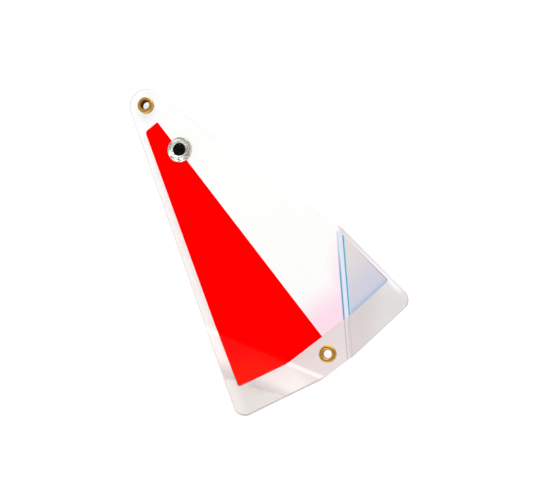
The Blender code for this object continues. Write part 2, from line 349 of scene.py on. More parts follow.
def outline(shape, corners):
    """Edges of a closed outline through (place, radius) corners, each corner spun as an arc."""
    arcs = []
    for index, (corner, radius) in enumerate(corners):
        before = (corners[index - 1][0] - corner).normalized()
        after = (corners[(index + 1) % len(corners)][0] - corner).normalized()
        half = before.angle(after) / 2
        centre = corner + (before + after).normalized() * radius / math.sin(half)
        sweep = math.pi - 2 * half
        first = shape.verts.new(corner + before * radius / math.tan(half))
        turned = bmesh.ops.spin(
            shape,
            geom=[first],
            cent=centre,
            axis=(0.0, 0.0, -math.copysign(1.0, before.cross(after).z)),
            angle=sweep,
            steps=max(2, math.ceil(sweep / ARC_STEP)),
        )
        last = next(item for item in turned["geom_last"] if isinstance(item, bmesh.types.BMVert))
        arcs.append((first, last))
    for (_, last), (first, _) in zip(arcs, arcs[1:] + arcs[:1]):
        shape.edges.new((last, first))


def sheet(corners, low, high, rounding, holes=()):
    """A sheet between two heights with its rims rounded, bent with the blade; each hole is (x, radius)."""
    shape = bmesh.new()
    outline(shape, corners)
    for x, radius in holes:
        bmesh.ops.create_circle(shape, segments=64, radius=radius, matrix=Matrix.Translation((x, 0.0, 0.0)))
    bmesh.ops.triangle_fill(shape, use_beauty=True, use_dissolve=True, edges=shape.edges)
    bmesh.ops.dissolve_limit(shape, angle_limit=math.radians(1), verts=[], edges=shape.edges)
    raised = bmesh.ops.extrude_face_region(shape, geom=shape.faces[:])
    top = [item for item in raised["geom"] if isinstance(item, bmesh.types.BMVert)]
    bmesh.ops.translate(shape, verts=top, vec=(0.0, 0.0, high - low))
    bmesh.ops.translate(shape, verts=shape.verts, vec=(0.0, 0.0, low))
    bmesh.ops.recalc_face_normals(shape, faces=shape.faces)
    square = math.radians(60)  # only the rims turn by more
    rims = [edge for edge in shape.edges if edge.calc_face_angle(0.0) > square]
    bmesh.ops.bevel(
        shape,
        geom=rims,
        offset=rounding,
        affect="EDGES",
        segments=3,
        profile=0.5,
        material=-1,
        clamp_overlap=True,
    )
    cut_bends(shape)
    shape.normal_update()
    flat = shape.loops.layers.uv.new(FLAT_MAP)
    cut_edge = shape.faces.layers.float.new(CUT_EDGE)
    glued = shape.faces.layers.float.new(GLUED)
    level = 0.97  # a face whose normal rises less than this is part of the cut edge
    for face in shape.faces:
        face[cut_edge] = abs(face.normal.z) < level
        face[glued] = face.normal.z * (low + high) < 0.0
        for loop in face.loops:
            loop[flat].uv = loop.vert.co.xy
    for vertex in shape.verts:
        vertex.co = bent(vertex.co)
    bmesh.ops.recalc_face_normals(shape, faces=shape.faces)
    return shape


def cut_bends(shape):
    """Cuts a flat sheet across along both bends, with a line close outside each to keep the flats flat."""
    steps = settings("blade").bend_steps
    margin = 0.15 * MM
    for side in (PEARL_SIDE, RED_SIDE):
        start, outward = bend_start(side)
        lines = [bend_width(side) * step / steps for step in range(steps + 1)]
        for beyond in [-margin, *lines, bend_width(side) + margin]:
            bmesh.ops.bisect_plane(
                shape,
                geom=[*shape.verts, *shape.edges, *shape.faces],
                dist=0.001 * MM,
                plane_co=start + outward * beyond,
                plane_no=outward,
            )


def arc(centre, radius, start, end, steps):
    """Points on a circle in the profile's plane, its angles in degrees from outward towards up."""
    angles = [math.radians(start + (end - start) * step / steps) for step in range(steps + 1)]
    return [(centre[0] + radius * math.cos(a), centre[1] + radius * math.sin(a)) for a in angles]


def spun(profile, centre, closed, steps=96):
    """A profile spun about an axis square to the blade, through a place on it."""
    shape = bmesh.new()
    points = [shape.verts.new((centre.x + radius, centre.y, height)) for radius, height in profile]
    for first, second in zip(points, points[1:] + points[:1] if closed else points[1:]):
        shape.edges.new((first, second))
    bmesh.ops.spin(
        shape,
        geom=[*shape.verts, *shape.edges],
        cent=centre,
        axis=(0.0, 0.0, 1.0),
        angle=math.tau,
        steps=steps,
        use_merge=True,
    )
    same_place = 0.002 * MM
    bmesh.ops.remove_doubles(shape, verts=shape.verts, dist=same_place)
    bmesh.ops.recalc_face_normals(shape, faces=shape.faces)
    section = shape.loops.layers.uv.new(TURNED_MAP)
    for face in shape.faces:
        for loop in face.loops:
            loop[section].uv = ((loop.vert.co - centre).xy.length, loop.vert.co.z)
    return shape


def face_over(shape, face):
    """Turns a shape made on the front of the blade over to its back, about the blade's axis."""
    if face == BACK:
        over = Matrix.Rotation(math.pi, 3, "X")
        bmesh.ops.rotate(shape, verts=shape.verts, cent=(0.0, 0.0, 0.0), matrix=over)


def piece(name, shape, finish, node, sharp=40.0):
    """Lays a finished shape on the table with the blade and makes it the piece that stands for a node.

    Edges that turn by more than sharp degrees stay sharp, and at 0 every face is shaded flat.
    """
    bmesh.ops.transform(shape, matrix=blade_frame(), verts=shape.verts)
    mesh = bpy.data.meshes.new(name)
    shape.to_mesh(mesh)
    shape.free()
    mesh.materials.append(finish)
    if sharp:
        mesh.shade_smooth()
        mesh.set_sharp_from_angle(angle=math.radians(sharp))
    made = bpy.data.objects.new(name, mesh)
    bpy.context.scene.collection.objects.link(made)
    if sharp:
        made.modifiers.new("flat_faces_stay_flat", "WEIGHTED_NORMAL").keep_sharp = True
    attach(made, "root")
    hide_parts(node)


# Finishes -----------------------------------------------------------------------------------------------


def add(tree, kind, inputs=(), output=0, **options):
    """Adds a shader node with its options and inputs, set or linked, and returns one of its outputs."""
    made = tree.nodes.new("ShaderNode" + kind)
    for option, value in options.items():
        setattr(made, option, value)
    for socket, value in dict(inputs).items():
        if isinstance(value, bpy.types.NodeSocket):
            tree.links.new(value, made.inputs[socket])
        else:
            made.inputs[socket].default_value = value
    return made.outputs[output] if made.outputs else None


def scale_of(millimetres):
    """The scale that gives a pattern features this far apart."""
    return 1 / (millimetres * MM)


def new_finish(name):
    """An empty material and its node tree."""
    made = bpy.data.materials.new(name)
    made.use_nodes = True
    made.node_tree.nodes.clear()
    return made, made.node_tree


def let_light_through(tree, shader, tint, share):
    """Ends a finish whose piece lets a share of the lamps' light through each face, tinted."""
    is_shadow = add(tree, "LightPath", output="Is Shadow Ray")
    passed = add(tree, "Math", {0: is_shadow, 1: share}, operation="MULTIPLY")
    leaves = add(tree, "BsdfTransparent", {"Color": tint})
    add(tree, "OutputMaterial", {0: add(tree, "MixShader", {0: passed, 1: shader, 2: leaves})})


def stuck_down(tree, shader, shade):
    """Makes the stuck face of a film glow by half with the light that comes through from its open face."""
    glow = add(tree, "BsdfTranslucent", {"Color": shade})
    glued = add(tree, "Attribute", output="Fac", attribute_name=GLUED)
    half = add(tree, "Math", {0: glued, 1: 0.5}, operation="MULTIPLY")
    return add(tree, "MixShader", {0: half, 1: shader, 2: glow})


def beyond_line(tree, place, start, outward):
    """How far a point of the flat sheet lies outside a line."""
    along = add(tree, "VectorMath", {0: place, 1: tuple(outward)}, "Value", operation="DOT_PRODUCT")
    return add(tree, "Math", {0: along, 1: start.dot(outward)}, operation="SUBTRACT")


def bend_edges(tree, beyond, side, width):
    """A mask of two soft lines, one along each edge of a bend."""
    half = bend_width(side) / 2
    centred = add(tree, "Math", {0: beyond, 1: half}, operation="SUBTRACT")
    either = add(tree, "Math", {0: centred}, operation="ABSOLUTE")
    off = add(tree, "Math", {0: either, 1: half, 2: 0.0}, operation="SUBTRACT")
    away = add(tree, "Math", {0: off}, operation="ABSOLUTE")
    return add(tree, "MapRange", {0: away, 1: width / 2, 2: width / 6}, **SOFT)


def blade_shade_tint(tree, flat, along):
    """Clear at the nose, with painted shade over a little of the sheet's own grey: a little duller down the
    red side and duller still about the tail grommet.
    """
    blade, tail = settings("blade"), tail_edge()
    across = add(tree, "SeparateXYZ", {0: flat}, "Y")
    toward_tail = add(tree, "MapRange", {0: along, 1: 5 * MM, 2: 90 * MM}, **SOFT)
    off_pearl = add(tree, "MapRange", {0: across, 1: 26 * MM, 2: 12 * MM}, **SOFT)
    # Painted shade, with a little of the sheet's own grey, down the red side towards the tail.
    toward_red_shade = add(tree, "Math", {0: toward_tail, 1: off_pearl}, operation="MULTIPLY")
    tint = add(tree, "Mix", {0: toward_red_shade, 6: tuple(blade.clear), 7: tuple(blade.red_side_shade)}, **COLOURS)
    # Painted shade about the tail grommet, with a little of the sheet's own grey.
    off_axis = add(tree, "Math", {0: across}, operation="ABSOLUTE")
    central = add(tree, "MapRange", {0: off_axis, 1: 25 * MM, 2: 15 * MM}, **SOFT)
    by_tail = add(tree, "MapRange", {0: along, 1: tail - 40 * MM, 2: tail - 22 * MM}, **SOFT)
    tail_shade = add(tree, "Math", {0: central, 1: by_tail}, operation="MULTIPLY")
    return add(tree, "Mix", {0: tail_shade, 6: tint, 7: tuple(blade.tail_shade)}, **COLOURS)


def lowered_fin_tint(tree, flat, along, tint):
    """Greyer on the lowered fin with painted shade and painted reflection over a little grey of the sheet's
    own, most of all beside its bend, with a clearer border along its side edge that fades in down the side
    and ends before the corner."""
    blade, tail = settings("blade"), tail_edge()
    beyond = beyond_line(tree, flat, *bend_start(PEARL_SIDE))
    lowered = add(tree, "MapRange", {0: beyond, 1: 0.0, 2: bend_width(PEARL_SIDE)}, **SOFT)
    from_side = beyond_line(tree, flat, *side_edge(PEARL_SIDE))
    by_side = add(tree, "MapRange", {0: from_side, 1: -5 * MM, 2: -2 * MM}, **SOFT)
    fading = add(tree, "MapRange", {0: along, 1: tail - 60 * MM, 2: tail - 26 * MM, 3: 0.9, 4: 0.25})
    at_corner = add(tree, "MapRange", {0: along, 1: tail - 14 * MM, 2: tail - 7 * MM, 3: 0.0, 4: 0.9})
    grey_by_side = add(tree, "Math", {0: fading, 1: at_corner}, operation="MAXIMUM")
    grey = add(tree, "Mix", {0: by_side, 2: 1.0, 3: grey_by_side})
    lowered = add(tree, "Math", {0: lowered, 1: grey}, operation="MULTIPLY")
    # Painted shade beside the bend, turning further out to painted reflection over a little of the sheet's
    # own grey.
    outward = add(tree, "MapRange", {0: beyond, 1: 12 * MM, 2: 28 * MM}, **SOFT)
    on_fin = add(tree, "Mix", {0: outward, 6: tuple(blade.bend_side_shade), 7: tuple(blade.lowered_grey_and_reflection)}, **COLOURS)
    return add(tree, "Mix", {0: lowered, 6: tint, 7: on_fin}, **COLOURS)


def raised_fin_tint(tree, flat, tint):
    """Painted reflection greys the outer part of the raised fin, less so along its side edge."""
    beyond = beyond_line(tree, flat, *bend_start(RED_SIDE))
    # Painted reflection on the outer part of the raised fin.
    raised = add(tree, "MapRange", {0: beyond, 1: 17 * MM, 2: 29 * MM}, **SOFT)
    from_side = beyond_line(tree, flat, *side_edge(RED_SIDE))
    off_side = add(tree, "MapRange", {0: from_side, 1: -1 * MM, 2: -9 * MM, 3: 0.75, 4: 1.0}, **SOFT)
    raised = add(tree, "Math", {0: raised, 1: off_side}, operation="MULTIPLY")
    return add(tree, "Mix", {0: raised, 6: tint, 7: tuple(settings("blade").raised_fin_reflection)}, **COLOURS)


def bend_edge_tint(tree, flat, along, tint):
    """A grey line along each edge of the sharper bend, on the clear band behind the film."""
    film_end = tail_edge() - settings("film").clear_tail
    behind_film = add(tree, "MapRange", {0: along, 1: film_end - 2 * MM, 2: film_end})
    lines = bend_edges(tree, beyond_line(tree, flat, *bend_start(PEARL_SIDE)), PEARL_SIDE, 0.9 * MM)
    lines = add(tree, "Math", {0: lines, 1: behind_film}, operation="MULTIPLY")
    return add(tree, "Mix", {0: lines, 6: tint, 7: tuple(settings("blade").bend_edge_grey)}, **COLOURS)


def cut_tint(tree, along, cut_edge, tint):
    """The frosted cut edges, a little darker along the tail."""
    blade, tail = settings("blade"), tail_edge()
    at_tail = add(tree, "MapRange", {0: along, 1: tail - 3 * MM, 2: tail - 1 * MM})
    edge = add(tree, "Mix", {0: at_tail, 6: tuple(blade.edge), 7: tuple(blade.tail_cut)}, **COLOURS)
    return add(tree, "Mix", {0: cut_edge, 6: tint, 7: edge}, **COLOURS)


def clear_polycarbonate():
    """Extruded clear polycarbonate sheet, polished by its rolls and bent hot: water clear and glossy at the
    nose, greyer down the red side, about the tail grommet and on both fins, where painted shade and painted
    reflection lie over a little grey of the sheet's own, with faint waves from the rolls, light scuffs, grey
    lines along both edges of the sharper bend and frosted edges."""
    made, tree = new_finish("extruded_clear_polycarbonate")
    flat = add(tree, "UVMap", uv_map=FLAT_MAP)
    along = add(tree, "SeparateXYZ", {0: flat}, "X")
    cut_edge = add(tree, "Attribute", output="Fac", attribute_name=CUT_EDGE)
    tint = blade_shade_tint(tree, flat, along)
    tint = lowered_fin_tint(tree, flat, along, tint)
    tint = raised_fin_tint(tree, flat, tint)
    tint = bend_edge_tint(tree, flat, along, tint)
    tint = cut_tint(tree, along, cut_edge, tint)
    # The rolls' waves are 15.4 mm long. Scuffs are drawn 1.11 mm apart, as coarse as it takes to see them.
    place = add(tree, "TexCoord", output="Object")
    waves = add(tree, "TexNoise", {"Vector": place, "Scale": scale_of(15.4), "Detail": 2.0})
    scuffs = add(tree, "TexNoise", {"Vector": place, "Scale": scale_of(1.11), "Detail": 4.0})
    height = add(tree, "Math", {0: scuffs, 1: 0.05, 2: waves}, operation="MULTIPLY_ADD")
    gloss = add(tree, "MapRange", {0: scuffs, 1: 0.45, 2: 0.75, 3: 0.0, 4: 0.06})
    shader = add(
        tree,
        "BsdfPrincipled",
        {
            "Base Color": tint,
            "Roughness": add(tree, "Mix", {0: cut_edge, 2: gloss, 3: 0.5}),
            "IOR": 1.585,
            "Transmission Weight": add(tree, "MapRange", {0: cut_edge, 3: 1.0, 4: 0.1}),
            "Normal": add(tree, "Bump", {"Height": height, "Distance": 0.03 * MM}),
        },
    )
    # Light that has reached a cut edge from inside the sheet leaves through it.
    inside = add(tree, "NewGeometry", output="Backfacing")
    from_inside = add(tree, "Math", {0: cut_edge, 1: inside}, operation="MULTIPLY")
    leaves = add(tree, "BsdfTransparent", {"Color": tint})
    shader = add(tree, "MixShader", {0: from_inside, 1: shader, 2: leaves})
    let_light_through(tree, shader, tint, 1.0)
    return made


def film_relief(tree, place):
    """Grain and bump of adhesive film: waves where it was rolled down, and rare air blisters 1 mm across."""
    # Grain is drawn 0.4 mm apart, as coarse as it takes to see it. Waves are 11.1 mm long, and a few of the
    # cells, which are 9.1 mm across, have a blister in the middle.
    grain = add(tree, "TexNoise", {"Vector": place, "Scale": scale_of(0.4), "Detail": 2.0})
    wave = add(tree, "TexNoise", {"Vector": place, "Scale": scale_of(11.1), "Detail": 1.0})
    cells = {"Vector": place, "Scale": scale_of(9.1)}
    from_centre = add(tree, "TexVoronoi", cells, "Distance")
    chance = add(tree, "SeparateColor", {0: add(tree, "TexVoronoi", cells, "Color")})
    rare = add(tree, "MapRange", {0: chance, 1: 0.9, 2: 0.93})
    bubble = add(tree, "MapRange", {0: from_centre, 1: 0.06, 2: 0.0}, **SOFT)
    blister = add(tree, "Math", {0: bubble, 1: rare}, operation="MULTIPLY")
    swell = add(tree, "Math", {0: wave, 1: 0.8, 2: blister}, operation="MULTIPLY_ADD")
    height = add(tree, "Math", {0: grain, 1: 0.06, 2: swell}, operation="MULTIPLY_ADD")
    return grain, add(tree, "Bump", {"Height": height, "Distance": 0.04 * MM})


def red_film():
    """Cast red vinyl film, calendered and glossy: one deep even red, turned a little warmer on the raised fin
    by painted light.
    """
    film, tail = settings("film"), tail_edge()
    made, tree = new_finish("cast_red_vinyl_film")
    place = add(tree, "UVMap", uv_map=FLAT_MAP)
    grain, bump = film_relief(tree, place)
    along = add(tree, "SeparateXYZ", {0: place}, "X")
    # Painted light on the raised fin, towards the tail.
    low = add(tree, "MapRange", {0: along, 1: tail - 42 * MM, 2: tail - 24 * MM}, **SOFT)
    fin = add(tree, "MapRange", {0: beyond_line(tree, place, *bend_start(RED_SIDE)), 1: 0.0, 2: 14 * MM})
    painted_light = add(tree, "Math", {0: low, 1: fin}, operation="MULTIPLY")
    shade = add(tree, "Mix", {0: painted_light, 6: tuple(film.red), 7: tuple(film.red_painted_light)}, **COLOURS)
    shader = add(
        tree,
        "BsdfPrincipled",
        {
            "Base Color": shade,
            "Roughness": add(tree, "MapRange", {0: grain, 1: 0.3, 2: 0.7, 3: 0.2, 4: 0.32}),
            "Specular IOR Level": 0.3,
            "Specular Tint": tuple(film.red_sheen),
            "Normal": bump,
        },
    )
    let_light_through(tree, stuck_down(tree, shader, shade), shade, film.red_passes)
    return made


def pearl_on_blade(tree, along, beyond, end):
    """White square on, with a painted pink sheen towards the tail and beside the bend."""
    film = settings("film")
    # Painted sheen: the pink that the pearl shows as it turns.
    by_tail = add(tree, "MapRange", {0: along, 1: end - 28 * MM, 2: end - 6 * MM}, **SOFT)
    lower = add(tree, "MapRange", {0: along, 1: end - 46 * MM, 2: end - 20 * MM, 4: 0.6}, **SOFT)
    beside = add(tree, "MapRange", {0: beyond, 1: -9 * MM, 2: -2 * MM}, **SOFT)
    by_bend = add(tree, "Math", {0: lower, 1: beside}, operation="MULTIPLY")
    pink_sheen = add(tree, "Math", {0: by_tail, 1: by_bend}, operation="MAXIMUM")
    return add(tree, "Mix", {0: pink_sheen, 6: tuple(film.pearl), 7: tuple(film.pearl_pink_sheen)}, **COLOURS)


def pearl_on_fin(tree, place, along, beyond, end):
    """Painted shade and painted sheen of the lowered fin, which faces away from the light: pink-grey turning
    lavender down the fin, blue at the tail edge, pale blue beside the bend; and a brown line where the side
    was cut."""
    film, width = settings("film"), bend_width(PEARL_SIDE)
    # Painted shade and painted sheen, darker and bluer down the fin.
    downward = add(tree, "MapRange", {0: along, 1: end - 30 * MM, 2: end - 4 * MM}, **SOFT)
    shade = add(tree, "Mix", {0: downward, 6: tuple(film.pearl_fin), 7: tuple(film.pearl_low)}, **COLOURS)
    to_edge = add(tree, "MapRange", {0: along, 1: end - 4 * MM, 2: end}, **SOFT)
    shade = add(tree, "Mix", {0: to_edge, 6: shade, 7: tuple(film.pearl_blue)}, **COLOURS)
    near = add(tree, "MapRange", {0: beyond, 1: width + 2.0 * MM, 2: width + 0.4 * MM}, **SOFT)
    shade = add(tree, "Mix", {0: near, 6: shade, 7: tuple(film.pearl_halo)}, **COLOURS)
    slope = settings("blade").half_angle + film.turn
    corner = Matrix.Rotation(film.turn, 3, "Z") @ Vector((end, half_width(end, film_offset()), 0.0))
    from_side = beyond_line(tree, place, corner, Vector((-math.sin(slope), math.cos(slope), 0.0)))
    side_line = add(tree, "MapRange", {0: from_side, 1: -0.9 * MM, 2: -0.3 * MM}, **SOFT)
    growing = add(tree, "MapRange", {0: along, 1: end - 32 * MM, 2: end - 6 * MM})
    side_line = add(tree, "Math", {0: side_line, 1: growing}, operation="MULTIPLY")
    return add(tree, "Mix", {0: side_line, 6: shade, 7: tuple(film.pearl_side)}, **COLOURS)


def pearl_in_bend(tree, along, beyond, end, shade):
    """Painted sheen of pale lavender inside the bend, with a painted cyan reflection along each edge."""
    film, width = settings("film"), bend_width(PEARL_SIDE)
    first = add(tree, "MapRange", {0: beyond, 1: 0.0, 2: 0.4 * MM}, **SOFT)
    last = add(tree, "MapRange", {0: beyond, 1: width, 2: width - 0.4 * MM}, **SOFT)
    inside = add(tree, "Math", {0: first, 1: last}, operation="MULTIPLY")
    shade = add(tree, "Mix", {0: inside, 6: shade, 7: tuple(film.bend_band)}, **COLOURS)
    # The far line is strong all the way, and the near one only towards the tail.
    lines = bend_edges(tree, beyond, PEARL_SIDE, 1.2 * MM)
    far_line = add(tree, "MapRange", {0: beyond, 1: 0.4 * width, 2: 0.6 * width})
    strong = add(tree, "MapRange", {0: along, 1: end - 42 * MM, 2: end - 18 * MM, 3: 0.3, 4: 1.0}, **SOFT)
    weight = add(tree, "Math", {0: strong, 1: far_line}, operation="MAXIMUM")
    lines = add(tree, "Math", {0: lines, 1: weight}, operation="MULTIPLY")
    return add(tree, "Mix", {0: lines, 6: shade, 7: tuple(film.bend_line)}, **COLOURS)


def pearl_film():
    """Pearlescent vinyl film, mica in a clear glossy face: white square on, with painted sheen of pink,
    lavender and blue and painted shade where it turns away, and a painted cyan reflection along both edges of
    the sharp bend."""
    film = settings("film")
    made, tree = new_finish("pearlescent_mica_vinyl_film")
    place = add(tree, "UVMap", uv_map=FLAT_MAP)
    grain, bump = film_relief(tree, place)
    along = add(tree, "SeparateXYZ", {0: place}, "X")
    beyond = beyond_line(tree, place, *bend_start(PEARL_SIDE))
    width = bend_width(PEARL_SIDE)
    end = tail_edge() - film.clear_tail
    on_fin = add(tree, "MapRange", {0: beyond, 1: width - 0.2 * MM, 2: width + 0.2 * MM})
    blade_shade = pearl_on_blade(tree, along, beyond, end)
    fin_shade = pearl_on_fin(tree, place, along, beyond, end)
    shade = add(tree, "Mix", {0: on_fin, 6: blade_shade, 7: fin_shade}, **COLOURS)
    shade = pearl_in_bend(tree, along, beyond, end, shade)
    shader = add(
        tree,
        "BsdfPrincipled",
        {
            "Base Color": shade,
            "Roughness": add(tree, "MapRange", {0: grain, 1: 0.3, 2: 0.7, 3: 0.2, 4: 0.32}),
            "Thin Film Thickness": 420.0,  # nanometres
            "Thin Film IOR": 1.7,
            "Normal": bump,
        },
    )
    let_light_through(tree, stuck_down(tree, shader, shade), shade, film.pearl_passes)
    return made


def stamped_brass():
    """Stamped and rolled brass strip, tumbled bright: warm and glossy, with faint rings from the die, small
    patches of handling, and painted dull brown shade down the bores, darkest at the nose."""
    grommets = settings("grommets")
    made, tree = new_finish("stamped_bright_brass")
    place = add(tree, "TexCoord", output="Object")
    section = add(tree, "UVMap", uv_map=TURNED_MAP)
    radius = add(tree, "SeparateXYZ", {0: section}, "X")
    # Patches 1.43 mm apart; die rings 0.25 mm apart, as coarse as it takes to see them.
    patches = add(tree, "TexNoise", {"Vector": place, "Scale": scale_of(1.43), "Detail": 3.0})
    die = {"W": radius, "Scale": scale_of(0.25), "Detail": 1.0}
    rings = add(tree, "TexNoise", die, noise_dimensions="1D")
    bore = grommets.bore
    in_bore = add(tree, "MapRange", {0: radius, 1: bore + 1.0 * MM, 2: bore + 0.4 * MM}, **SOFT)
    mottled = add(tree, "MapRange", {0: patches, 1: 0.35, 2: 0.6, 3: 0.85, 4: 1.0})
    lengthwise = add(tree, "SeparateXYZ", {0: place}, "X")
    toward_nose = add(tree, "MapRange", {0: lengthwise, 1: 50 * MM, 2: -50 * MM, 3: 0.3, 4: 1.0})
    # Painted shade in the bores, stronger towards the nose; it also turns the brass there dull and less
    # metallic.
    bore_shade_mask = add(tree, "Math", {0: in_bore, 1: mottled}, operation="MULTIPLY")
    bore_shade_mask = add(tree, "Math", {0: bore_shade_mask, 1: toward_nose}, operation="MULTIPLY")
    gloss = add(tree, "MapRange", {0: patches, 1: 0.3, 2: 0.7, 3: 0.16, 4: 0.3})
    shade = add(tree, "Mix", {0: bore_shade_mask, 6: tuple(grommets.brass), 7: tuple(grommets.bore_shade)}, **COLOURS)
    height = add(tree, "Math", {0: patches, 1: 2.0, 2: rings}, operation="MULTIPLY_ADD")
    shader = add(
        tree,
        "BsdfPrincipled",
        {
            "Base Color": shade,
            "Metallic": add(tree, "MapRange", {0: bore_shade_mask, 3: 1.0, 4: 0.0}),
            "Specular IOR Level": 0.0,
            "Roughness": add(tree, "Mix", {0: bore_shade_mask, 2: gloss, 3: 0.6}),
            "Normal": add(tree, "Bump", {"Height": height, "Distance": 0.01 * MM}),
        },
    )
    add(tree, "OutputMaterial", {0: shader})
    return made


def crinkled_foil():
    """Embossed aluminium foil: mirror bright, in facets 2 mm across, each with a faint rainbow tinge."""
    eyes = settings("eyes")
    made, tree = new_finish("embossed_aluminium_foil")
    facets = {"Vector": add(tree, "TexCoord", output="Object"), "Scale": scale_of(2.0)}
    rainbow = add(tree, "TexVoronoi", facets, "Color")
    edges = add(tree, "TexVoronoi", facets, feature="DISTANCE_TO_EDGE")
    tinge = add(tree, "Mix", {0: 0.1, 6: tuple(eyes.silver), 7: rainbow}, **COLOURS)
    shader = add(
        tree,
        "BsdfPrincipled",
        {
            "Base Color": tinge,
            "Metallic": 1.0,
            "Roughness": add(tree, "MapRange", {0: edges, 1: 0.0, 2: 0.15, 3: 0.35, 4: 0.15}),
            "Normal": add(tree, "Bump", {"Height": edges, "Distance": 0.015 * MM}),
        },
    )
    add(tree, "OutputMaterial", {0: shader})
    return made


def printed_black():
    """Screen-printed black ink under the resin: very dark, with an uneven grain 0.33 mm apart."""
    eyes = settings("eyes")
    made, tree = new_finish("screen_printed_black_ink")
    place = add(tree, "TexCoord", output="Object")
    grain = add(tree, "TexNoise", {"Vector": place, "Scale": scale_of(0.333), "Detail": 2.0})
    shade = add(tree, "Mix", {0: grain, 6: tuple(eyes.pupil), 7: tuple(eyes.pupil_grain)}, **COLOURS)
    shader = add(
        tree,
        "BsdfPrincipled",
        {
            "Base Color": shade,
            "Roughness": add(tree, "MapRange", {0: grain, 1: 0.3, 2: 0.7, 3: 0.4, 4: 0.55}),
            "Specular IOR Level": 0.05,
            "Normal": add(tree, "Bump", {"Height": grain, "Distance": 0.01 * MM}),
        },
    )
    add(tree, "OutputMaterial", {0: shader})
    return made


def cast_resin():
    """Cast clear polyurethane resin: glossy and lens-like, with slight ripples 4 mm long left as it set."""
    made, tree = new_finish("cast_clear_polyurethane")
    place = add(tree, "TexCoord", output="Object")
    ripples = add(tree, "TexNoise", {"Vector": place, "Scale": scale_of(4.0), "Detail": 1.0})
    shader = add(
        tree,
        "BsdfPrincipled",
        {
            "Base Color": WHITE,
            "Roughness": add(tree, "MapRange", {0: ripples, 1: 0.3, 2: 0.7, 3: 0.0, 4: 0.03}),
            "IOR": 1.5,
            "Specular Tint": tuple(settings("eyes").gloss),
            "Transmission Weight": 1.0,
            "Normal": add(tree, "Bump", {"Height": ripples, "Distance": 0.02 * MM}),
        },
    )
    let_light_through(tree, shader, WHITE, 1.0)
    return made


# Pieces -------------------------------------------------------------------------------------------------


class FLASHER_OT_blade(bpy.types.Operator):
    """Build the clear bent blade with its two grommet holes"""

    bl_idname = "flasher.blade"
    bl_label = "Blade"

    def execute(self, context):
        blade, grommets = settings("blade"), settings("grommets")
        sharp_nose = Vector((-blade.nose_radius / math.sin(blade.half_angle), 0.0, 0.0))
        red_corner, _ = side_edge(RED_SIDE)
        pearl_corner, _ = side_edge(PEARL_SIDE)
        corners = [
            (sharp_nose, blade.nose_radius),
            (red_corner, blade.corner_radius),
            (pearl_corner, blade.corner_radius),
        ]
        hole = grommets.bore + grommets.wall + grommets.clearance
        holes = [(0.0, hole), (tail_edge() - grommets.tail_inset, hole)]
        half = blade.thickness / 2
        shape = sheet(corners, -half, half, blade.edge_rounding, holes)
        piece("clear_blade", shape, clear_polycarbonate(), "blade")
        return {"FINISHED"}


class FLASHER_OT_films(bpy.types.Operator):
    """Lay the red and pearl film on both faces of the blade"""

    bl_idname = "flasher.films"
    bl_label = "Films"

    def execute(self, context):
        blade, film = settings("blade"), settings("film")
        end = tail_edge() - film.clear_tail
        offset = film_offset()
        askew = Matrix.Rotation(film.turn, 3, "Z")
        finishes = {"red": red_film(), "pearl": pearl_film()}
        # Sunk a little into the blade, so that light inside the sheet meets the film as it meets a glued one.
        low = blade.thickness / 2 - HAIR
        rounding = 0.03 * MM  # all that a knife cut leaves
        for face_name, face in (("front", FRONT), ("back", BACK)):
            for film_name, side in (("red", RED_SIDE), ("pearl", PEARL_SIDE)):
                gap = side * film.seam_gap / 2
                flat = [
                    (film.start, film.seam_at_start + gap, 0.3 * film.corner_radius),
                    (film.start, side * half_width(film.start, offset), 2 * film.corner_radius),
                    (end, side * half_width(end, offset), film.corner_radius),
                    (end, film.seam_at_tail + gap, 0.3 * film.corner_radius),
                ]
                corners = [(askew @ Vector((x, y, 0.0)), radius) for x, y, radius in flat]
                heights = sorted((face * low, face * (low + film.thickness)))
                shape = sheet(corners, *heights, rounding)
                name = f"{face_name}_{film_name}_film"
                piece(f"{name}_sheet", shape, finishes[film_name], name)
        return {"FINISHED"}


